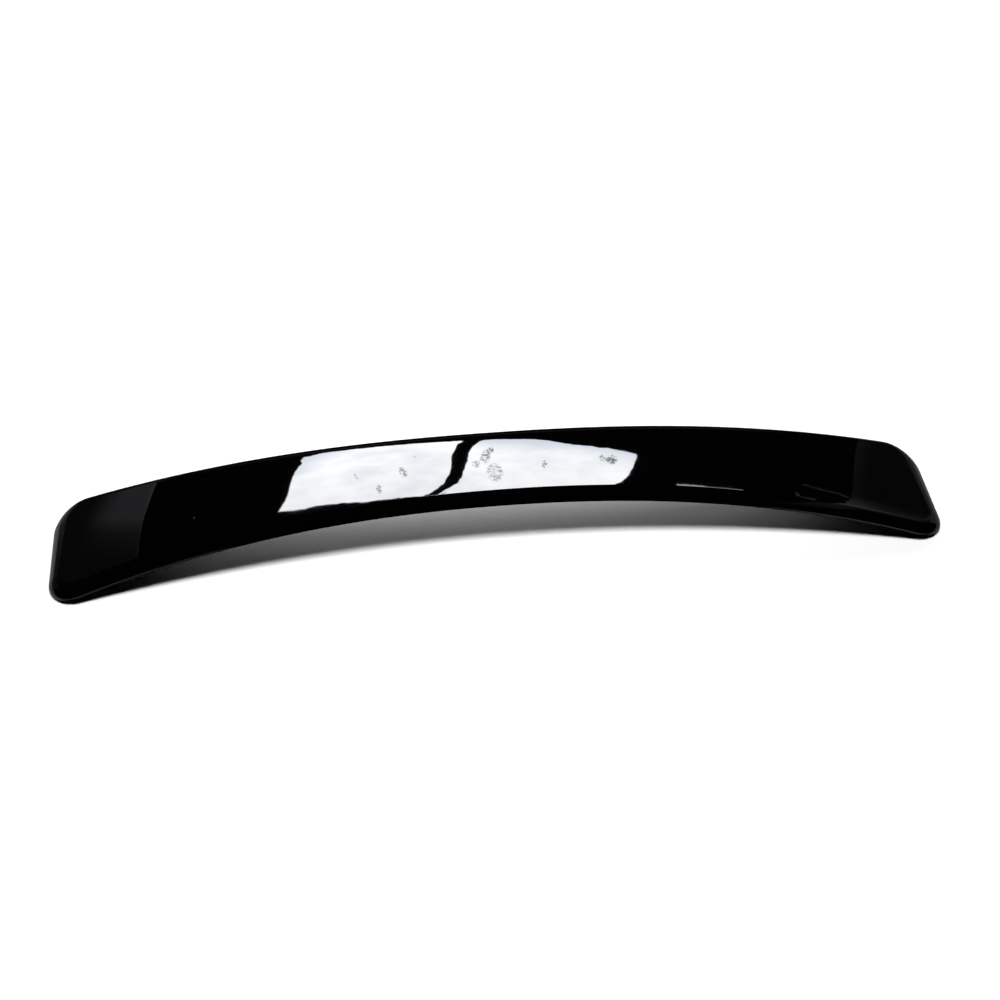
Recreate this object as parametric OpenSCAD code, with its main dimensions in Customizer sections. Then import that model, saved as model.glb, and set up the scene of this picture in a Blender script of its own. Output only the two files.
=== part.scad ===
// Roof spoiler for the top of a rear screen, one moulded panel, glued on.
// X runs along its length, +Y points to the trailing edge, +Z is up.
// It stands on the undersides of its two ends, and the origin is under the middle of its box.

/* [Plan] */
// Overall length, end to end
span = 1100; // [900:10:1320]
// Depth from front edge to rear edge at the middle
chord = 120; // [98:1:144]
// How far the front edge sweeps forward from the middle to the ends
front_bow = 70; // [56:1:86]
// How far the rear edge sweeps forward from the middle to the ends
rear_bow = 26; // [20:1:34]
// Corner radius in plan where the front edge meets an end
front_corner = 32; // [24:1:40]
// Corner radius in plan where the rear edge meets an end
rear_corner = 46; // [37:1:56]

/* [Arch] */
// Rise of the rim from the ends to the middle
crown_rise = 52; // [40:1:66]
// Shape of the arch: 2 is a parabola, more is flatter in the middle
crown_power = 2.5; // [2:0.1:3.2]

/* [Section] */
// Height of the panel over its rim at the front
front_h = 11.5; // [9:0.5:14]
// Height of the panel over its rim at the rear
rear_h = 22; // [18:0.5:27]
// Upright part of the front edge, below its roll
front_lip = 3; // [2:0.1:4]
// Width of the roll along the front edge
front_roll = 15.5; // [12:0.5:19]
// Width of the roll along the rear edge
rear_roll = 12; // [10:0.5:15]
// Height of the roll along the rear edge
rear_roll_h = 11.5; // [9:0.5:14]
// Width of the roll over each end, where it meets the front edge
end_roll_front = 16; // [12.5:0.5:20]
// Width of the roll over each end, where it meets the rear edge
end_roll_rear = 21; // [17:0.5:26]
// Thickness of the moulding
wall = 3; // [2:0.1:4]
// Round on the outer corner of the rim
rim_round = 0.8; // [0.4:0.1:1.2]

/* [Underside] */
// Width of the bonding land, in from the outer edge
land_w = 12; // [9:0.5:15]
// Thickness of the bonding land
land_t = 2.5; // [1.5:0.1:3.5]
// Depth of the bonding land above the rim, for the tape
tape_recess = 0.8; // [0.4:0.1:1.2]
// Number of cross ribs
rib_count = 11; // [7:1:15]
// Spacing of the cross ribs
rib_pitch = 92; // [60:1:110]
// Thickness of a rib
rib_t = 2; // [1.4:0.1:2.8]
// Clearance between the ribs' lower edges and the rim
rib_clear = 3; // [2:0.1:4.5]

/* [Hidden] */

// Steps round a corner, along half the length, across the panel, and over a roll outside and inside
corner_steps = 7;
half_steps = 18;
cross_steps = 6;
outer_steps = 6;
inner_steps = 3;
rod_facets = 8;
// How far the tool body of the cavity reaches below the rim
cut_reach = 2 * wall;
// Step over which the slope of the panel is taken
probe = 0.5;

half = span / 2;
mid_steps = corner_steps + half_steps;
stations = 2 * mid_steps + 1;
around = 2 * (stations + cross_steps - 1);

// Radii of the two long edges, and the centres of the corners that are tangent to them
front_r = (half * half + front_bow * front_bow) / (2 * front_bow);
rear_r = (half * half + rear_bow * rear_bow) / (2 * rear_bow);
front_cx = half - front_corner;
front_cy = sqrt(pow(front_r + front_corner, 2) - pow(front_cx, 2)) - front_r;
rear_cx = half - rear_corner;
rear_cy = chord - rear_r + sqrt(pow(rear_r - rear_corner, 2) - pow(rear_cx, 2));
front_sweep = atan2(front_cx, front_cy + front_r);
rear_sweep = atan2(rear_cx, rear_cy - chord + rear_r);

// The box is centred on the origin in Y
y_shift = -(chord + front_cy - front_corner) / 2;

rear_lip = rear_h - rear_roll_h;

// Rim height over the floor at x
function base(x) = crown_rise * (1 - pow(min(1, abs(x) / half), crown_power));

// Smooth step from 0 to 1
function ease(t) = t * t * (3 - 2 * t);

// The two long edges as if they had no corners, and how far a place lies from front to rear
function front_arc(x) = sqrt(front_r * front_r - x * x) - front_r;
function rear_arc(x) = chord - rear_r + sqrt(rear_r * rear_r - x * x);
function reach(x, y) = max(0, min(1, (y - front_arc(x)) / (rear_arc(x) - front_arc(x))));

// Panel height over the rim's arch: it climbs from the front edge and is level at the rear
function height(x, y) =
    let (v = reach(x, y)) front_h + (rear_h - front_h) * (1.5 * v - 0.5 * pow(v, 3));

// Outline points carry x, y, the inward normal, how far round the corner they are, and which
// edge they belong to, from 0 at the front to 1 at the rear.
// i counts stations from the middle, below 0 on the left.
function side(i) = i < 0 ? -1 : 1;
function front_point(i) =
    let (k = mid_steps - abs(i), a = -(90 + front_sweep) * k / corner_steps,
         b = front_sweep * (1 - (k - corner_steps) / half_steps))
    k < corner_steps
        ? [side(i) * (front_cx + front_corner * cos(a)), front_cy + front_corner * sin(a),
           -side(i) * cos(a), -sin(a), ease(k / corner_steps), 0]
        : [side(i) * front_r * sin(b), front_r * (cos(b) - 1), side(i) * sin(b), cos(b), 1, 0];
function rear_point(i) =
    let (k = mid_steps - abs(i), a = (90 - rear_sweep) * k / corner_steps,
         b = rear_sweep * (1 - (k - corner_steps) / half_steps))
    k < corner_steps
        ? [side(i) * (rear_cx + rear_corner * cos(a)), rear_cy + rear_corner * sin(a),
           -side(i) * cos(a), -sin(a), ease(k / corner_steps), 1]
        : [side(i) * rear_r * sin(b), chord + rear_r * (cos(b) - 1),
           -side(i) * sin(b), -cos(b), 1, 1];
function end_point(way, j) =
    let (v = j / cross_steps) [way * half, front_cy + (rear_cy - front_cy) * v, -way, 0, 0, v];

// Once round the outline: front edge, right end, rear edge, left end
outline = [
    for (i = [-mid_steps : mid_steps]) front_point(i),
    for (j = [1 : cross_steps - 1]) end_point(1, j),
    for (i = [-mid_steps : mid_steps]) rear_point(-i),
    for (j = [1 : cross_steps - 1]) end_point(-1, cross_steps - j)
];

// Width of the roll at an outline point, and the section of the roll there: height at its top,
// height at its foot, and its slope at both
function roll_wide(p) =
    let (end = end_roll_front + (end_roll_rear - end_roll_front) * p[5])
    end + ((p[5] < 0.5 ? front_roll : rear_roll) - end) * p[4];
function roll_section(p) =
    let (wide = roll_wide(p), x = p[0] + p[2] * wide, y = p[1] + p[3] * wide,
         up = height(x, y), lip = front_lip + (rear_lip - front_lip) * reach(p[0], p[1]),
         climb = height(x + p[2] * probe, y + p[3] * probe) - height(x - p[2] * probe, y - p[3] * probe),
         start = atan(climb / (2 * probe)))
    [wide, up, lip, start, 2 * atan((up - lip) / wide) - start];
sections = [for (p = outline) roll_section(p)];

// A point of the skin at outline point i: share runs from 0 at the top of the roll to 1 at its
// foot, and depth is how far it lies inside the outer face
function skin_point(i, share, depth) =
    let (p = outline[i], section = sections[i], start = section[3], foot = section[4],
         radius = section[0] / (sin(foot) - sin(start)),
         turn = start + (foot - start) * share,
         inset = share == 1 ? depth : radius * (sin(foot) - sin(turn)) + depth * sin(turn),
         up = share == 1 ? section[2] - depth * tan((90 - foot) / 2)
                         : section[1] - radius * (cos(start) - cos(turn)) - depth * cos(turn),
         x = p[0] + p[2] * inset)
    [x, p[1] + p[3] * inset, base(x) + up];

// A point straight under the outline, moved inwards and up from the rim
function rim_point(p, inset, up) =
    let (x = p[0] + p[2] * inset) [x, p[1] + p[3] * inset, base(x) + up];

// Places inside a ring, on straight lines between its front and rear points, for one face
function inside(ring) = [
    for (s = [1 : stations - 2], j = [1 : cross_steps - 1])
        let (a = ring[s], b = ring[2 * stations + cross_steps - 2 - s])
        a + (b - a) * j / cross_steps
];

// The same places at one height over the rim's arch, or at a depth inside the panel
function level(ring, up) = [for (q = inside(ring)) [q[0], q[1], base(q[0]) + up]];
function panel(ring, depth) =
    [for (q = inside(ring)) [q[0], q[1], base(q[0]) + height(q[0], q[1]) - depth]];

// Number of the outline point at station s, j steps across, or else of an inner point
function on_grid(s, j, ring, inner) =
    j == 0 ? ring + s
    : j == cross_steps ? ring + 2 * stations + cross_steps - 2 - s
    : s == stations - 1 ? ring + stations + j - 1
    : s == 0 ? ring + around - j
    : inner + (s - 1) * (cross_steps - 1) + j - 1;

// Closed solid from rings of points, highest first, with the inner points of its top and bottom
module ringed(rings, tops, bottoms) {
    last = len(rings) - 1;
    inner = (last + 1) * around;
    top_faces = [for (s = [0 : stations - 2], j = [0 : cross_steps - 1]) [
        on_grid(s, j, 0, inner), on_grid(s, j + 1, 0, inner),
        on_grid(s + 1, j + 1, 0, inner), on_grid(s + 1, j, 0, inner)]];
    low = last * around;
    low_inner = inner + len(tops);
    bottom_faces = [for (s = [0 : stations - 2], j = [0 : cross_steps - 1]) [
        on_grid(s, j, low, low_inner), on_grid(s + 1, j, low, low_inner),
        on_grid(s + 1, j + 1, low, low_inner), on_grid(s, j + 1, low, low_inner)]];
    side_faces = [for (k = [0 : last - 1], p = [0 : around - 1])
        let (q = (p + 1) % around)
        [k * around + p, k * around + q, (k + 1) * around + q, (k + 1) * around + p]];
    polyhedron(
        points = concat([for (ring = rings) each ring], tops, bottoms),
        faces = concat(top_faces, side_faces, bottom_faces));
}

// The panel as a full body, its faces moved inwards by depth and its floor moved down
module body(depth, floor_drop, edge_round, roll_steps) {
    rolls = [for (k = [0 : roll_steps]) [for (i = [0 : around - 1]) skin_point(i, k / roll_steps, depth)]];
    upright = [for (p = outline) rim_point(p, depth, edge_round - floor_drop)];
    lowest = [for (p = outline) rim_point(p, depth + edge_round, -floor_drop)];
    rings = concat(rolls, [upright], edge_round > 0 ? [lowest] : []);
    ringed(rings, panel(rolls[0], depth), level(rings[len(rings) - 1], -floor_drop));
}

// A slab of even thickness that follows the rim's arch
module slab(inset, low, high) {
    rings = [for (up = [high, low]) [for (p = outline) rim_point(p, inset, up)]];
    ringed(rings, level(rings[0], high), level(rings[1], low));
}

// Shelf inside the rim that the bonding tape sticks to
module bonding_land() {
    difference() {
        slab(wall / 2, tape_recess, tape_recess + land_t);
        slab(land_w, -cut_reach, tape_recess + land_t + cut_reach);
    }
}

// Middle of the panel at x
function middle_y(x) = (front_arc(x) + rear_arc(x)) / 2;
function rib_x(i) = (i - (rib_count - 1) / 2) * rib_pitch;

// A rib from front to rear, with a round lower edge
module cross_rib(x) {
    front_reach = front_bow + front_corner;
    hull()
        for (up = [rib_clear + rib_t / 2, rear_h])
            translate([x, -front_reach, base(x) + up])
                rotate([-90, 0, 0])
                    cylinder(d = rib_t, h = front_reach + chord, $fn = rod_facets);
}

// The stretch of the lengthwise rib between two cross ribs
module spine_stretch(x0, x1) {
    hull()
        for (x = [x0, x1])
            translate([x, middle_y(x), base(x) + rib_clear])
                cylinder(d = rib_t, h = rear_h, $fn = rod_facets);
}

module spoiler_shell() {
    color("#141416")
    translate([0, y_shift, 0])
    union() {
        difference() {
            body(0, 0, rim_round, outer_steps);
            body(wall, cut_reach, 0, inner_steps);
        }
        intersection() {
            body(wall / 2, cut_reach, 0, inner_steps);
            union() {
                bonding_land();
                for (i = [0 : rib_count - 1])
                    cross_rib(rib_x(i));
                for (i = [0 : rib_count - 2])
                    spine_stretch(rib_x(i), rib_x(i + 1));
            }
        }
    }
}

spoiler_shell();
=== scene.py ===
import math

import bmesh
import bpy
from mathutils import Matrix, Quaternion, Vector


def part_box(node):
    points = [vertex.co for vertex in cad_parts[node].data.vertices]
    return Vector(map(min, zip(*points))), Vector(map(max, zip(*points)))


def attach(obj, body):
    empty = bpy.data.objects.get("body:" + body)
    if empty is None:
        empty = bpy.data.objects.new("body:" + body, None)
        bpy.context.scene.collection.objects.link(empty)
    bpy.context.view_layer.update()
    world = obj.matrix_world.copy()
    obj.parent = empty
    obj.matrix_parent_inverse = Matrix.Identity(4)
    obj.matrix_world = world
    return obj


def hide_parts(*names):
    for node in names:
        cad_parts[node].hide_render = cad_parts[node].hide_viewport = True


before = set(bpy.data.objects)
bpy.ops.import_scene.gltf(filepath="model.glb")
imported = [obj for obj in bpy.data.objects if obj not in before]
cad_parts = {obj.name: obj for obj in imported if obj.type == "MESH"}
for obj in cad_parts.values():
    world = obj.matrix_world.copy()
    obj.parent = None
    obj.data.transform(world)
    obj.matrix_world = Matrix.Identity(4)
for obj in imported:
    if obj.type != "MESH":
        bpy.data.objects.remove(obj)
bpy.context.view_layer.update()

# The camera stands in front of the panel and looks down on it from a little left of its middle,
# as it lies on the studio table.
SIGHT = Vector((0.0, 0.0106, 0.020))
SIGHT_AZIMUTH = math.radians(-7.01)
SIGHT_ELEVATION = math.radians(43.48)
SIGHT_DISTANCE = 2.027
CAMERA_TURN = math.radians(0.682)
SENSOR = 36.0
FOCAL_SHARE = 1.6189
FRAME_SHIFT = (0.00154, 0.00259)

camera_data = bpy.data.cameras.new("studio_camera")
camera_data.sensor_width = SENSOR
camera_data.lens = FOCAL_SHARE * SENSOR
camera_data.shift_x, camera_data.shift_y = FRAME_SHIFT
camera = bpy.data.objects.new("studio_camera", camera_data)
bpy.context.scene.collection.objects.link(camera)
sight_back = Vector((
    math.sin(SIGHT_AZIMUTH) * math.cos(SIGHT_ELEVATION),
    -math.cos(SIGHT_AZIMUTH) * math.cos(SIGHT_ELEVATION),
    math.sin(SIGHT_ELEVATION),
))
camera.location = SIGHT + sight_back * SIGHT_DISTANCE
upright = sight_back.to_track_quat("Z", "Y")
camera.rotation_euler = (upright @ Quaternion((0.0, 0.0, 1.0), CAMERA_TURN)).to_euler()
bpy.context.scene.camera = camera
bpy.context.scene.view_settings.view_transform = "Standard"

# The skin of the spoiler: one ABS moulding about 3 mm thick, painted black under clear lacquer.
# It is arched along its length, and its edges roll down to a rim that follows the car's roof.
# The paint covers the outside down to the rim, and the inside is bare moulded plastic.
panel_low, panel_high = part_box("spoiler_shell")
SPAN = panel_high.x - panel_low.x
CHORD = 0.120
FRONT_BOW = 0.070
REAR_BOW = 0.026
FRONT_CORNER = 0.032
REAR_CORNER = 0.046
CROWN_RISE = 0.052
CROWN_POWER = 2.5
FRONT_HEIGHT = 0.0115
REAR_HEIGHT = 0.022
FRONT_LIP = 0.003
FRONT_ROLL = 0.0155
REAR_ROLL = 0.012
REAR_ROLL_HEIGHT = 0.0115
END_ROLL_FRONT = 0.016
END_ROLL_REAR = 0.021
WALL = 0.003
RIM_ROUND = 0.0008
# Radius that the paint gives the crease between the roll and the upright lip
CREASE_RADIUS = 0.0012
# Step over which the slope of the panel is taken
PROBE = 0.0005
# Points of a piece that are closer than this are welded
WELD = 1e-6

HALF = SPAN / 2
REAR_LIP = REAR_HEIGHT - REAR_ROLL_HEIGHT
front_radius = (HALF ** 2 + FRONT_BOW ** 2) / (2 * FRONT_BOW)
rear_radius = (HALF ** 2 + REAR_BOW ** 2) / (2 * REAR_BOW)
front_corner_x = HALF - FRONT_CORNER
front_corner_y = math.sqrt((front_radius + FRONT_CORNER) ** 2 - front_corner_x ** 2) - front_radius
rear_corner_x = HALF - REAR_CORNER
rear_corner_rise = math.sqrt((rear_radius - REAR_CORNER) ** 2 - rear_corner_x ** 2)
rear_corner_y = CHORD - rear_radius + rear_corner_rise
front_sweep = math.atan2(front_corner_x, front_corner_y + front_radius)
rear_sweep = math.atan2(rear_corner_x, rear_corner_rise)
# The front edge's middle in the frame, whose origin is at the middle of the box
FRONT_Y = (panel_low.y + panel_high.y - CHORD - front_corner_y + FRONT_CORNER) / 2
# Share of each half's stations that go round the corners
CORNER_SHARE = 0.14
# Power by which the even spread in the corners gives way close to the front and rear rolls
EDGE_POWER = 16


def rim_height(x):
    """Height of the rim over the floor at x."""
    return CROWN_RISE * (1 - min(1.0, abs(x) / HALF) ** CROWN_POWER)


def front_arc(x):
    """The front edge at x as if it had no corners, measured from its middle."""
    return math.sqrt(front_radius ** 2 - x * x) - front_radius


def rear_arc(x):
    """The rear edge at x as if it had no corners."""
    return CHORD - rear_radius + math.sqrt(rear_radius ** 2 - x * x)


def reach(x, y):
    """How far a place lies across the panel, from 0 at the front edge to 1 at the rear."""
    return max(0.0, min(1.0, (y - front_arc(x)) / (rear_arc(x) - front_arc(x))))


def panel_height(x, y):
    """Height of the panel over its rim: it climbs from the front and is level at the rear."""
    v = reach(x, y)
    return FRONT_HEIGHT + (REAR_HEIGHT - FRONT_HEIGHT) * (1.5 * v - 0.5 * v ** 3)


def edge_point(s, v):
    """Point x, y of the outline, its inward normal, and how far round the corner it is."""
    side = -1 if s < 0 else 1
    turn = (1 - abs(s)) / CORNER_SHARE
    along = max(0.0, turn - 1) / (1 / CORNER_SHARE - 1)
    rounded = min(1.0, turn)
    eased = rounded * rounded * (3 - 2 * rounded)
    if 0 < v < 1:
        y = front_corner_y + (rear_corner_y - front_corner_y) * v
        return side * HALF, y, -side, 0.0, 0.0
    if v == 0 and turn < 1:
        angle = -(math.pi / 2 + front_sweep) * turn
        x = side * (front_corner_x + FRONT_CORNER * math.cos(angle))
        y = front_corner_y + FRONT_CORNER * math.sin(angle)
        return x, y, -side * math.cos(angle), -math.sin(angle), eased
    if v == 1 and turn < 1:
        angle = (math.pi / 2 - rear_sweep) * turn
        x = side * (rear_corner_x + REAR_CORNER * math.cos(angle))
        y = rear_corner_y + REAR_CORNER * math.sin(angle)
        return x, y, -side * math.cos(angle), -math.sin(angle), eased
    if v == 0:
        angle = front_sweep * (1 - along)
        x = side * front_radius * math.sin(angle)
        return x, front_radius * (math.cos(angle) - 1), side * math.sin(angle), math.cos(angle), 1.0
    angle = rear_sweep * (1 - along)
    x = side * rear_radius * math.sin(angle)
    y = CHORD + rear_radius * (math.cos(angle) - 1)
    return x, y, -side * math.sin(angle), -math.cos(angle), 1.0


def roll_section(s, v):
    """The roll's width, the heights of its top and its foot, and its slope at both."""
    x, y, nx, ny, eased = edge_point(s, v)
    end = END_ROLL_FRONT + (END_ROLL_REAR - END_ROLL_FRONT) * v
    wide = end + ((FRONT_ROLL if v < 0.5 else REAR_ROLL) - end) * eased
    outer = panel_height(x + nx * (wide - PROBE), y + ny * (wide - PROBE))
    inner = panel_height(x + nx * (wide + PROBE), y + ny * (wide + PROBE))
    up = panel_height(x + nx * wide, y + ny * wide)
    lip = FRONT_LIP + (REAR_LIP - FRONT_LIP) * reach(x, y)
    start = math.atan((inner - outer) / (2 * PROBE))
    return wide, up, lip, start, 2 * math.atan((up - lip) / wide) - start


def rim_place(s, v, inset, up):
    """A point inside the outline, a given height above the rim."""
    x, y, nx, ny, _ = edge_point(s, v)
    x += nx * inset
    return Vector((x, FRONT_Y + y + ny * inset, rim_height(x) + up))


def roll_place(s, v, share, depth):
    """A point of the rolled edge: share 0 at its top, 1 at its foot, depth inside the paint."""
    wide, up, lip, start, foot = roll_section(s, v)
    if share == 1:
        return rim_place(s, v, depth, lip - depth * math.tan((math.pi / 2 - foot) / 2))
    radius = wide / (math.sin(foot) - math.sin(start))
    turn = start + (foot - start) * share
    inset = radius * (math.sin(foot) - math.sin(turn)) + depth * math.sin(turn)
    return rim_place(s, v, inset, up - radius * (math.cos(start) - math.cos(turn)) - depth * math.cos(turn))


def crease_place(s, v, share):
    """A point of the crease between the roll and the lip, rounded by the paint."""
    _, _, lip, _, foot = roll_section(s, v)
    turn = foot + (math.pi / 2 - foot) * share
    drop = CREASE_RADIUS * (1 - math.sin(foot)) / math.cos(foot)
    return rim_place(s, v, CREASE_RADIUS * (1 - math.sin(turn)), lip - drop + CREASE_RADIUS * math.cos(turn))


def top_place(s, v, depth):
    """A point of the main face, between the front and rear rolls, evenly spread in the corners."""
    place = roll_place(s, 0, 0.0, depth).lerp(roll_place(s, 1, 0.0, depth), v)
    turn = (1 - abs(s)) / CORNER_SHARE
    if turn < 1 and 0 < v < 1:
        inner = math.copysign(1 - CORNER_SHARE, s)
        inner_x = roll_place(inner, 0, 0.0, depth).lerp(roll_place(inner, 1, 0.0, depth), v).x
        end_x = roll_place(math.copysign(1, s), v, 0.0, depth).x
        place.x += (end_x + (inner_x - end_x) * turn - place.x) * (1 - (2 * v - 1) ** EDGE_POWER)
    place.z = rim_height(place.x) + panel_height(place.x, place.y - FRONT_Y) - depth
    return place


def draw_out(bm, ring, layers, place, slot):
    """Extrudes an open ring of edges and puts each new point where place says."""
    made = bmesh.ops.extrude_edge_only(bm, edges=ring)["geom"]
    for item in made:
        if isinstance(item, bmesh.types.BMVert):
            item.co = place(item[layers[0]], item[layers[1]])
        if isinstance(item, bmesh.types.BMFace):
            item.material_index = slot
    return [item for item in made if isinstance(item, bmesh.types.BMEdge) and item.is_boundary]


def lay_face(bm, stations, across, depth, slot):
    """The main face as a grid, closest at its edges, with each point's station and share kept on it."""
    layers = (bm.verts.layers.float.new("station"), bm.verts.layers.float.new("across"))
    bmesh.ops.create_grid(bm, x_segments=stations, y_segments=across, size=1.0)
    for vert in bm.verts:
        vert[layers[0]] = round(vert.co.x * stations / 2) / (stations / 2)
        step = round((vert.co.y + 1) / 2 * across)
        at_edge = step % across == 0
        vert[layers[1]] = step // across if at_edge else (1 - math.cos(math.pi * step / across)) / 2
        vert.co = top_place(vert[layers[0]], vert[layers[1]], depth)
    for face in bm.faces:
        face.material_index = slot
    return layers


def finish_piece(name, bm, smooth_angle=None):
    """Makes an object of a bmesh, at the origin, with smooth faces."""
    bmesh.ops.recalc_face_normals(bm, faces=bm.faces)
    for face in bm.faces:
        face.smooth = True
    if smooth_angle is not None:
        for edge in bm.edges:
            edge.smooth = edge.calc_face_angle(0.0) < smooth_angle
    mesh = bpy.data.meshes.new(name)
    bm.to_mesh(mesh)
    bm.free()
    piece = bpy.data.objects.new(name, mesh)
    bpy.context.scene.collection.objects.link(piece)
    return piece


PAINT_SLOT, BARE_SLOT = 0, 1
FACE_STATIONS, FACE_ACROSS = 380, 26
OUTER_STEPS, CREASE_STEPS, INNER_STEPS, ROUND_STEPS = 14, 4, 5, 3

skin_mesh = bmesh.new()
layers = lay_face(skin_mesh, FACE_STATIONS, FACE_ACROSS, 0.0, PAINT_SLOT)
inner_face = bmesh.ops.duplicate(skin_mesh, geom=skin_mesh.verts[:] + skin_mesh.edges[:] + skin_mesh.faces[:])
inner_items = inner_face["geom"]
inner_set = set(inner_items)
ring = [edge for edge in skin_mesh.edges if edge.is_boundary and edge not in inner_set]
for item in inner_items:
    if isinstance(item, bmesh.types.BMVert):
        item.co = top_place(item[layers[0]], item[layers[1]], WALL)
    if isinstance(item, bmesh.types.BMFace):
        item.material_index = BARE_SLOT
for step in range(1, OUTER_STEPS):
    ring = draw_out(skin_mesh, ring, layers,
                    lambda s, v: roll_place(s, v, step / OUTER_STEPS, 0.0), PAINT_SLOT)
for step in range(CREASE_STEPS + 1):
    ring = draw_out(skin_mesh, ring, layers,
                    lambda s, v: crease_place(s, v, step / CREASE_STEPS), PAINT_SLOT)
for step in range(ROUND_STEPS + 1):
    angle = math.pi / 2 * step / ROUND_STEPS
    ring = draw_out(skin_mesh, ring, layers,
                    lambda s, v: rim_place(s, v, RIM_ROUND * (1 - math.cos(angle)),
                                           RIM_ROUND * (1 - math.sin(angle))), PAINT_SLOT)
ring = draw_out(skin_mesh, ring, layers, lambda s, v: rim_place(s, v, WALL, 0.0), BARE_SLOT)
for step in range(INNER_STEPS, -1, -1):
    ring = draw_out(skin_mesh, ring, layers,
                    lambda s, v: roll_place(s, v, step / INNER_STEPS, WALL), BARE_SLOT)
bmesh.ops.remove_doubles(skin_mesh, verts=skin_mesh.verts, dist=WELD)
spoiler_skin = finish_piece("spoiler_skin", skin_mesh)


class Finish:
    """Shader sums written as Python expressions on the sockets of one material."""

    def __init__(self, tree, socket=None):
        self.tree = tree
        self.socket = socket

    def make(self, kind, settings, values, output=0):
        """A new node of this kind, with its settings made first and its values or links after."""
        node = self.tree.nodes.new(kind)
        for name, setting in settings.items():
            setattr(node, name, setting)
        for name, value in values.items():
            if isinstance(value, Finish):
                self.tree.links.new(value.socket, node.inputs[name])
            else:
                node.inputs[name].default_value = value
        return Finish(self.tree, node.outputs[output])

    def maths(self, operation, *values):
        """A Math node with this operation on the values."""
        return self.make("ShaderNodeMath", {"operation": operation}, dict(enumerate(values)))

    def __add__(self, other):
        return self.maths("ADD", self, other)

    def __radd__(self, other):
        return self.maths("ADD", other, self)

    def __sub__(self, other):
        return self.maths("SUBTRACT", self, other)

    def __rsub__(self, other):
        return self.maths("SUBTRACT", other, self)

    def __mul__(self, other):
        return self.maths("MULTIPLY", self, other)

    def __rmul__(self, other):
        return self.maths("MULTIPLY", other, self)

    def raised(self, power):
        """This value to a power."""
        return self.maths("POWER", self, power)

    def ease(self, low, high, start=0.0, end=1.0):
        """Smooth step of this value from start at low to end at high."""
        settings = {"interpolation_type": "SMOOTHSTEP"}
        values = {"Value": self, "From Min": low, "From Max": high, "To Min": start, "To Max": end}
        return self.make("ShaderNodeMapRange", settings, values)

    def noise(self, scale, detail=2.0, roughness=0.5):
        """Noise over the piece at this position, scale in waves per metre."""
        values = {"Vector": self, "Scale": scale, "Detail": detail, "Roughness": roughness}
        return self.make("ShaderNodeTexNoise", {}, values)

    def axis(self, name):
        """One coordinate of this position."""
        return self.make("ShaderNodeSeparateXYZ", {}, {"Vector": self}, name)

    def spot(self, centre, size, lean):
        """An oval spot round a place, 1 in its middle and 0 past its edge, turned by lean."""
        values = {"Vector": self, "Location": (*centre, 0.0), "Rotation": (0.0, 0.0, lean),
                  "Scale": (*size, 1.0)}
        turned = self.make("ShaderNodeMapping", {"vector_type": "TEXTURE"}, values)
        away = self.make("ShaderNodeVectorMath", {"operation": "LENGTH"}, {0: turned}, "Value")
        return away.ease(0.35, 1.15, 1.0, 0.0)

    def blend(self, low, high):
        """The colour between low and high that this share picks."""
        return self.make("ShaderNodeMix", {"data_type": "RGBA"}, {"Factor": self, 6: low, 7: high}, 2)

    def drive(self, surface, name):
        """Links this value to a socket of the surface."""
        self.tree.links.new(self.socket, surface.inputs[name])


def new_finish(name):
    """A material, its surface node and the position on the piece."""
    material = bpy.data.materials.new(name)
    material.use_nodes = True
    surface = material.node_tree.nodes["Principled BSDF"]
    place = Finish(material.node_tree).make("ShaderNodeTexCoord", {}, {}, "Object")
    return material, surface, place


def lacquered_black():
    """Black paint under clear lacquer, with finger marks, a speck of dust and a slight orange peel."""
    material, surface, place = new_finish("lacquered_black")
    # Centre, half size, lean and strength of each mark
    FINGER_MARKS = (
        ((-0.1170, 0.0256), (0.0068, 0.0138), 0.25, 0.9), ((-0.1482, 0.0016), (0.0050, 0.0100), 0.10, 0.8),
        ((-0.0051, 0.0513), (0.0050, 0.0075), -0.30, 1.1), ((-0.0132, 0.0408), (0.0082, 0.0160), -0.30, 0.9),
        ((-0.0262, 0.0294), (0.0063, 0.0084), 0.0, 0.8), ((-0.0043, 0.0142), (0.0140, 0.0200), 0.0, 0.85),
        ((-0.0043, 0.0142), (0.0070, 0.0110), 0.0, -0.35), ((0.0583, 0.0216), (0.0050, 0.0105), -0.20, 0.8),
        ((0.1426, 0.0225), (0.0096, 0.0105), -0.10, 0.9), ((0.1311, 0.0258), (0.0052, 0.0082), 0.0, 0.75),
        ((-0.1749, 0.0252), (0.0025, 0.0100), 0.35, 0.7), ((-0.1003, 0.0499), (0.0016, 0.0042), 0.0, 1.0),
    )
    DUST_SPECK, SPECK_RADIUS = (-0.3734, -0.0085), 0.0011
    grease = place.noise(300.0, 3.0, 0.65).ease(0.32, 0.56)
    touched = 0.0
    for centre, size, lean, weight in FINGER_MARKS:
        touched = place.spot(centre, size, lean) * weight + touched
    smudge = (touched * grease).ease(0.0, 1.0)
    film = place.noise(11.0, 3.0, 0.55).ease(0.40, 0.75)
    speck = place.spot(DUST_SPECK, (SPECK_RADIUS, SPECK_RADIUS), 0.0)
    dust = place.noise(2400.0, 0.0, 0.5).ease(0.82, 0.88) * 0.15 + speck
    (0.018 + smudge * 0.34 + film * 0.006).drive(surface, "Roughness")
    (dust + smudge * 0.20).blend((0.0004, 0.0004, 0.0005, 1.0), (0.060, 0.062, 0.070, 1.0)).drive(
        surface, "Base Color")
    peel = place.noise(90.0, 1.0, 0.5)
    place.make("ShaderNodeBump", {}, {"Strength": 1.0, "Distance": 0.00001, "Height": peel}).drive(
        surface, "Normal")
    return material


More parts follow.
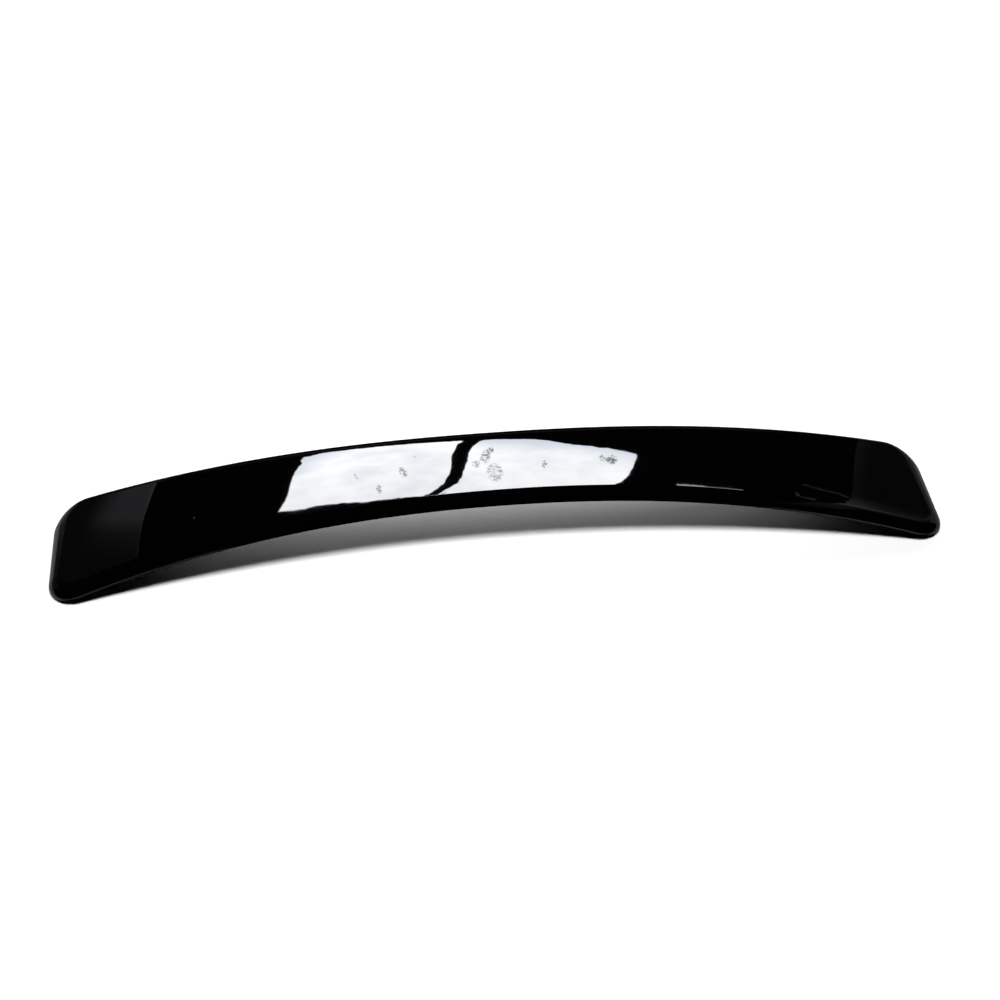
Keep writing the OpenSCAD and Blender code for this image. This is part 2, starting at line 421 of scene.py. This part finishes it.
def bare_black():
    """Bare moulded ABS, satin, with the fine grain of the tool."""
    material, surface, place = new_finish("bare_black")
    flow = place.noise(14.0, 3.0, 0.55)
    grain = place.noise(1500.0, 2.0, 0.6)
    flow.ease(0.3, 0.7).blend((0.010, 0.010, 0.011, 1.0), (0.017, 0.017, 0.018, 1.0)).drive(
        surface, "Base Color")
    (0.42 + grain * 0.16).drive(surface, "Roughness")
    place.make("ShaderNodeBump", {}, {"Strength": 0.25, "Distance": 0.0002, "Height": grain}).drive(
        surface, "Normal")
    return material


bare_plastic = bare_black()
spoiler_skin.data.materials.append(lacquered_black())
spoiler_skin.data.materials.append(bare_plastic)
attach(spoiler_skin, "root")
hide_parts("spoiler_shell")

# The bonding land: a shelf moulded inside the rim all the way round, 0.8 mm above its edge, that
# the double-sided tape sticks to. It is part of the same moulding.
LAND_WIDTH = 0.012
LAND_THICKNESS = 0.0025
TAPE_RECESS = 0.0008
LONG_STEPS, END_STEPS = 180, 24
# Angle past which an edge of a thin wall stays sharp
SHARP_ANGLE = math.radians(40)


def round_trip(number):
    """Station and share across of a step round the outline, counted from the front left."""
    if number < LONG_STEPS:
        return -1 + 2 * number / LONG_STEPS, 0.0
    if number < LONG_STEPS + END_STEPS:
        return 1.0, (number - LONG_STEPS) / END_STEPS
    if number < 2 * LONG_STEPS + END_STEPS:
        return 1 - 2 * (number - LONG_STEPS - END_STEPS) / LONG_STEPS, 1.0
    return -1.0, 1 - (number - 2 * LONG_STEPS - END_STEPS) / END_STEPS


land_mesh = bmesh.new()
land_layers = (land_mesh.verts.layers.float.new("station"), land_mesh.verts.layers.float.new("across"))
bmesh.ops.create_circle(land_mesh, segments=2 * (LONG_STEPS + END_STEPS), radius=1.0)
land_mesh.verts.ensure_lookup_table()
for number, vert in enumerate(land_mesh.verts):
    vert[land_layers[0]], vert[land_layers[1]] = round_trip(number)
    vert.co = rim_place(vert[land_layers[0]], vert[land_layers[1]], WALL / 2, TAPE_RECESS)
land_ring = land_mesh.edges[:]
for inset, up in ((LAND_WIDTH, TAPE_RECESS), (LAND_WIDTH, TAPE_RECESS + LAND_THICKNESS),
                  (WALL / 2, TAPE_RECESS + LAND_THICKNESS), (WALL / 2, TAPE_RECESS)):
    made = bmesh.ops.extrude_edge_only(land_mesh, edges=land_ring)["geom"]
    fresh = {item for item in made if isinstance(item, bmesh.types.BMVert)}
    for vert in fresh:
        vert.co = rim_place(vert[land_layers[0]], vert[land_layers[1]], inset, up)
    land_ring = [item for item in made if isinstance(item, bmesh.types.BMEdge)
                 and item.verts[0] in fresh and item.verts[1] in fresh]
bmesh.ops.remove_doubles(land_mesh, verts=land_mesh.verts, dist=WELD)
bonding_land = finish_piece("bonding_land", land_mesh, SHARP_ANGLE)
bonding_land.data.materials.append(bare_plastic)
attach(bonding_land, "root")

# The ribs: thin walls moulded across the inside of the panel, and one along its middle, that keep
# the long face stiff. They stop 3 mm short of the roof.
RIB_COUNT = 11
RIB_PITCH = 0.092
RIB_THICKNESS = 0.002
RIB_CLEAR = 0.003
RIB_STATIONS, RIB_ACROSS, RIB_ROLL_STEPS = 120, 12, 5
SPINE_STEPS = 80
# How deep under the paint the spine's top lies, in walls
SPINE_DEPTH = 0.6
# How close to a cutting plane a point counts as on it
ON_PLANE = 1e-7


def rib_x(number):
    """Place of a cross rib along the panel."""
    return (number - (RIB_COUNT - 1) / 2) * RIB_PITCH


def cross_rib(number):
    """The panel's own section at the rib, inside its skin, given the rib's thickness."""
    x = rib_x(number) - RIB_THICKNESS / 2
    bm = bmesh.new()
    rib_layers = lay_face(bm, RIB_STATIONS, RIB_ACROSS, WALL / 2, 0)
    edge_ring = [edge for edge in bm.edges if edge.is_boundary]
    for step in range(1, RIB_ROLL_STEPS + 1):
        edge_ring = draw_out(bm, edge_ring, rib_layers,
                             lambda s, v: roll_place(s, v, step / RIB_ROLL_STEPS, WALL / 2), 0)
    draw_out(bm, edge_ring, rib_layers, lambda s, v: rim_place(s, v, WALL / 2, 0.0), 0)
    bmesh.ops.bisect_plane(bm, geom=bm.verts[:] + bm.edges[:] + bm.faces[:], dist=ON_PLANE,
                           plane_co=(x, 0, 0), plane_no=(1, 0, 0),
                           clear_inner=True, clear_outer=True)
    bmesh.ops.bisect_plane(bm, geom=bm.verts[:] + bm.edges[:], dist=ON_PLANE,
                           plane_co=(0, 0, rim_height(x) + RIB_CLEAR), plane_no=(0, 0, 1),
                           clear_inner=True)
    bmesh.ops.remove_doubles(bm, verts=bm.verts, dist=WELD)
    bmesh.ops.contextual_create(bm, geom=[vert for vert in bm.verts if len(vert.link_edges) == 1])
    bmesh.ops.edgeloop_fill(bm, edges=bm.edges)
    wall = bmesh.ops.extrude_face_region(bm, geom=bm.faces[:])["geom"]
    moved = [item for item in wall if isinstance(item, bmesh.types.BMVert)]
    bmesh.ops.translate(bm, verts=moved, vec=(RIB_THICKNESS, 0, 0))
    return finish_piece(f"cross_rib_{number + 1}", bm, SHARP_ANGLE)


def spine_rib():
    """The long rib, drawn as a grid along the middle of the panel and thickened."""
    bm = bmesh.new()
    bmesh.ops.create_grid(bm, x_segments=SPINE_STEPS, y_segments=2, size=1.0)
    for vert in bm.verts:
        x = vert.co.x * rib_x(RIB_COUNT - 1)
        middle = (front_arc(x) + rear_arc(x)) / 2
        tall = panel_height(x, middle) - WALL * SPINE_DEPTH - RIB_CLEAR
        up = RIB_CLEAR + tall * (vert.co.y + 1) / 2
        vert.co = Vector((x, FRONT_Y + middle - RIB_THICKNESS / 2, rim_height(x) + up))
    wall = bmesh.ops.extrude_face_region(bm, geom=bm.faces[:])["geom"]
    moved = [item for item in wall if isinstance(item, bmesh.types.BMVert)]
    bmesh.ops.translate(bm, verts=moved, vec=(0, RIB_THICKNESS, 0))
    return finish_piece("spine_rib", bm, SHARP_ANGLE)


for rib in [cross_rib(number) for number in range(RIB_COUNT)] + [spine_rib()]:
    rib.data.materials.append(bare_plastic)
    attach(rib, "root")

# The studio table: a white matt top, wide enough to fill the picture.
TABLE_SIZE = 8.0
table_mesh = bmesh.new()
bmesh.ops.create_grid(table_mesh, x_segments=8, y_segments=8, size=TABLE_SIZE / 2)
table = finish_piece("table_top", table_mesh)
table_finish, table_surface, _ = new_finish("white_table")
table_surface.inputs["Base Color"].default_value = (0.93, 0.93, 0.93, 1.0)
table_surface.inputs["Roughness"].default_value = 0.9
table_surface.inputs["Specular IOR Level"].default_value = 0.0
table.data.materials.append(table_finish)


# What the lacquer mirrors: softboxes, pale walls, thin light gaps, the table and a black room.
# Each is a card that only mirror rays see. Most hang level over the table, the end walls stand,
# and one lies close over the table in its place, with the table and the part's shadow painted on it.
CARD_HEIGHT = 1.4
SILL_HEIGHT = 1.402
TABLE_CARD_HEIGHT = 0.0004
BLACK = (0.0, 0.0, 0.0, 1.0)
WHITE = (1.0, 1.0, 1.0, 1.0)


def card_finish(piece, strength, glow):
    """Gives a studio card its light, which only mirrors see and none throws on the table."""
    material, surface, place = new_finish(piece.name)
    surface.inputs["Base Color"].default_value = BLACK
    surface.inputs["Specular IOR Level"].default_value = 0.0
    surface.inputs["Emission Strength"].default_value = strength
    bounces = place.make("ShaderNodeLightPath", {}, {}, "Diffuse Depth")
    bounces.ease(0.2, 0.8, 1.0, 0.0).blend(BLACK, glow(place)).drive(surface, "Emission Color")
    piece.data.materials.append(material)
    piece.visible_camera = False
    piece.visible_diffuse = False
    piece.visible_shadow = False


def lit_card(name, outline, strength, glow, height=CARD_HEIGHT):
    """A card of the given outline, lit by glow: level at that height, or upright where it has heights."""
    bm = bmesh.new()
    bmesh.ops.contextual_create(bm, geom=[bm.verts.new((*corner, height)[:3]) for corner in outline])
    card_finish(finish_piece(name, bm), strength, glow)


def softbox_cloth(lean, start, end):
    """The cloth of a softbox, cool white, slightly uneven, and darker towards one far corner."""
    def glow(place):
        x, y = place.axis("X"), place.axis("Y")
        away = (y + x * lean).ease(start, end)
        light = place.noise(5.0, 3.0, 0.6).ease(0.25, 0.70, 0.5, 1.0) * (1.0 - away * 0.9)
        return light.blend((0.55, 0.60, 0.69, 1.0), (0.98, 0.99, 1.0, 1.0))
    return glow


def left_wall_light(place):
    """A pale wall that is lit at its near top and falls off to the left and down."""
    x, y = place.axis("X"), place.axis("Y")
    height = y + x * 0.79
    lit = x.ease(-1.46, -1.24) * (height.ease(0.18, 0.34) * 0.50 + height.ease(0.02, 0.22) * 0.16)
    rim = (x + y * 0.08).ease(-1.012, -1.000) * y.ease(0.90, 1.50, 0.35, 1.0)
    return (lit + rim * 0.24 + 0.085).blend(BLACK, (0.33, 0.33, 0.36, 1.0))


def right_wall_light(place):
    """A dim wall, lighter at its left edge, with a bright sill along its foot."""
    x, y = place.axis("X"), place.axis("Y")
    rim = (x - y * 0.53).ease(0.86, 0.97, 1.0, 0.0)
    foot = y - x * 0.27
    sill = foot.ease(0.58, 0.69, 1.0, 0.0) * foot.ease(0.0, 0.6, 0.45, 1.0) * foot.ease(-0.10, 0.15)
    return (sill * x.ease(1.38, 1.64, 0.40, 0.13) + rim * 0.045 + 0.022).blend(BLACK, WHITE)


def side_light(place):
    """The end walls of the room, dim beside the table and lighter towards the back."""
    x, y = place.axis("X"), place.axis("Y")
    left = x.ease(-1.0, 1.0, 1.0, 0.0)
    return (left * y.ease(1.6, 2.6, 0.05, 0.20) + (1.0 - left) * y.ease(1.0, 2.2, 0.18, 0.10)).blend(
        BLACK, WHITE)


# The front edge's bow over the table, as a share of x squared
EDGE_CURVE = -0.232
# How far ahead of the front edge the lip starts to mirror light: at the middle, and less by the arch
LIP_STRIP, ARCH_STRIP = 0.0545, 0.0548


def painted_table_reflection_light(place):
    """What the table shows in the lip, the crease and the end rolls, painted: dark with the part's painted
    shadow close by, pale farther off.
    """
    x, y = place.axis("X"), place.axis("Y")
    out = x.maths("ABSOLUTE", x)
    arch = (out * (1 / HALF)).raised(CROWN_POWER)
    ahead = x * x * EDGE_CURVE - y + FRONT_Y
    lip_shade = ahead + arch * ARCH_STRIP - LIP_STRIP
    before = (lip_shade.ease(0.0, 0.004) * out.ease(0.30, 0.42)
              * x.ease(-0.3, 0.3, 3.2, 1.3) * out.ease(0.54, 0.62, 1.0, 0.2))
    beside = out.ease(0.36, 0.46) * x.ease(-0.3, 0.3, 0.38, 0.23) * y.ease(0.5, 0.9, 1.0, 0.1)
    front = ahead.ease(-0.010, 0.0)
    return (before * front + beside * (1.0 - front)).blend(BLACK, WHITE)


def sill_light(place):
    """The sill along the foot of the right wall, brighter towards the back."""
    return place.axis("Y").ease(-1.3, 1.0, 0.04, 0.14).blend(BLACK, WHITE)


def even_light(*tint):
    """The same light all over."""
    return lambda place: place.axis("X").ease(-50.0, 50.0, 1.0, 1.0).blend(BLACK, (*tint, 1.0))


lit_card("left_softbox", (
    (0.042, 1.362), (0.081, 1.360), (0.082, 1.341), (0.073, 1.335), (0.063, 1.305), (0.045, 1.191),
    (0.036, 1.123), (0.029, 0.999), (0.022, 0.939), (0.016, 0.925), (0.001, 0.874), (-0.032, 0.836),
    (-0.043, 0.829), (-0.066, 0.825), (-0.237, 0.838), (-0.356, 0.862), (-0.447, 0.868), (-0.519, 0.886),
    (-0.504, 0.923), (-0.492, 0.984), (-0.488, 1.097), (-0.481, 1.208), (-0.462, 1.309), (-0.472, 1.349),
    (-0.462, 1.407), (-0.439, 1.405), (-0.395, 1.426), (-0.277, 1.411), (-0.131, 1.391),
), 21.0, softbox_cloth(-1.2, 1.62, 1.98))
lit_card("right_softbox", (
    (0.156, 1.342), (0.276, 1.294), (0.323, 1.247), (0.378, 1.183), (0.439, 1.156), (0.459, 1.134),
    (0.485, 1.135), (0.551, 1.084), (0.571, 1.066), (0.570, 1.052), (0.548, 0.977), (0.512, 0.890),
    (0.479, 0.848), (0.438, 0.827), (0.400, 0.819), (0.287, 0.815), (0.200, 0.806), (0.080, 0.788),
    (-0.062, 0.772), (-0.062, 0.784), (-0.010, 0.822), (0.010, 0.832), (0.034, 0.855), (0.043, 0.871),
    (0.047, 0.889), (0.054, 0.908), (0.068, 1.007), (0.077, 1.058), (0.084, 1.145), (0.106, 1.257),
    (0.127, 1.323), (0.136, 1.342),
), 21.2, softbox_cloth(0.55, 1.20, 1.44))
lit_card("left_wall", (
    (-1.07, 0.945), (-1.09, 1.13), (-1.10, 1.36), (-1.11, 1.58), (-1.13, 1.75), (-1.16, 2.30),
    (-2.60, 2.30), (-2.20, 1.10), (-1.45, 1.03), (-1.31, 0.99), (-1.20, 0.97), (-1.13, 0.95),
), 1.0, left_wall_light)
lit_card("right_wall", (
    (1.92, 2.00), (1.807, 1.783), (1.738, 1.644), (1.687, 1.543), (1.631, 1.425), (1.577, 1.313),
    (1.541, 1.241), (1.508, 1.178), (1.480, 1.123), (1.454, 1.075), (1.434, 1.046), (1.414, 1.025),
    (1.392, 1.009), (1.32, 0.88), (1.24, 0.70), (1.10, 0.35), (1.10, 0.10), (2.60, 0.10), (2.60, 2.10),
), 1.0, right_wall_light)
lit_card("right_sill", (
    (0.680, -1.30), (0.746, -0.80), (0.853, -0.29), (1.029, 0.246), (1.241, 0.742), (1.385, 1.005),
    (1.392, 0.995), (1.260, 0.735), (1.052, 0.246), (0.878, -0.29), (0.772, -0.80), (0.708, -1.30),
), 1.0, sill_light, SILL_HEIGHT)
lit_card("front_gap", ((0.662, 0.850), (0.780, 0.810), (0.885, 0.780), (0.905, 0.888), (0.790, 0.876),
                       (0.662, 0.864)), 6.0, even_light(1.0, 1.0, 1.0))
lit_card("side_gap", ((1.20, 1.014), (1.31, 1.027), (1.425, 1.041), (1.425, 1.047), (1.31, 1.034),
                      (1.20, 1.021)), 0.28, even_light(0.85, 0.88, 1.0))
lit_card("low_gap", ((1.146, 0.958), (1.156, 0.958), (1.206, 0.884), (1.060, 0.420), (1.048, 0.420),
                     (1.192, 0.884)), 0.26, even_light(1.0, 1.0, 1.0))
lit_card("rear_strip", (
    (-1.10, 1.66), (-0.60, 1.60), (0.0, 1.56), (0.60, 1.58), (1.00, 1.66), (1.45, 1.80),
    (1.70, 2.10), (1.20, 1.98), (0.60, 1.88), (0.0, 1.86), (-0.60, 1.90), (-1.12, 1.98),
), 0.42, even_light(0.95, 0.97, 1.0))
for side, name in ((-2.6, "left_side_wall"), (2.6, "right_side_wall")):
    lit_card(name, ((side, 0.3, 0.0), (side, 3.9, 0.0), (side, 3.9, CARD_HEIGHT), (side, 0.3, CARD_HEIGHT)),
             1.0, side_light)
# A glowing card that paints the table's reflection for the lacquer, with the part's painted shadow near the
# front edge
lit_card("painted_table_reflection", ((-3.9, -3.9), (3.9, -3.9), (3.9, 3.9), (-3.9, 3.9)), 1.0, painted_table_reflection_light,
         TABLE_CARD_HEIGHT)

# The black room round the table, which mirror rays and shadow rays meet
ROOM_HEIGHT = 3.4
# How far the black room reaches under the table
ROOM_SINK = 0.05
flag_mesh = bmesh.new()
bmesh.ops.create_cube(flag_mesh, size=1.0)
bmesh.ops.scale(flag_mesh, verts=flag_mesh.verts, vec=(TABLE_SIZE, TABLE_SIZE, ROOM_HEIGHT))
bmesh.ops.translate(flag_mesh, verts=flag_mesh.verts, vec=(0.0, 0.0, ROOM_HEIGHT / 2 - ROOM_SINK))
black_flags = finish_piece("black_flags", flag_mesh)
card_finish(black_flags, 0.0, even_light(0.0, 0.0, 0.0))
black_flags.visible_shadow = True


# The lamps: a round one overhead, towards the front left, and four lower ones in a row behind.
BACK_ROW = 1.884


def lamp(name, size, energy, place):
    """An area lamp aimed at the floor under the middle of the part, and not mirrored."""
    data = bpy.data.lights.new(name, "AREA")
    data.shape = "DISK" if len(size) == 1 else "RECTANGLE"
    data.size, data.size_y = size[0], size[-1]
    data.energy = energy
    unit = bpy.data.objects.new(name, data)
    bpy.context.scene.collection.objects.link(unit)
    unit.location = place
    unit.rotation_euler = Vector(place).to_track_quat("Z", "Y").to_euler()
    unit.visible_glossy = False


lamp("overhead_lamp", (0.84,), 77.6, (-0.120, -0.100, 2.6))
lamp("low_back_lamp", (1.6, 0.42), 13.5, (0.0, BACK_ROW, 0.59))
lamp("left_back_lamp", (1.0, 0.75), 6.7, (-0.9, BACK_ROW, 0.975))
lamp("right_back_lamp", (1.0, 0.50), 7.9, (0.9, BACK_ROW, 1.13))
lamp("wide_back_lamp", (5.07, 0.48), 18.8, (0.0, BACK_ROW, 1.14))

# The room past the table is white to the camera, and in mirrors and glass.
world = bpy.data.worlds.new("studio_room")
bpy.context.scene.world = world
world.use_nodes = True
room = world.node_tree
room.nodes.clear()
ray = Finish(room)
seen = ray.make("ShaderNodeLightPath", {}, {}, "Is Camera Ray")
mirrored = ray.make("ShaderNodeLightPath", {}, {}, "Is Glossy Ray")
passed = ray.make("ShaderNodeLightPath", {}, {}, "Is Transmission Ray")
white = ray.make("ShaderNodeBackground", {}, {"Strength": seen + mirrored + passed})
room.links.new(white.socket, room.nodes.new("ShaderNodeOutputWorld").inputs["Surface"])
white.socket.node.inputs["Color"].default_value = WHITE
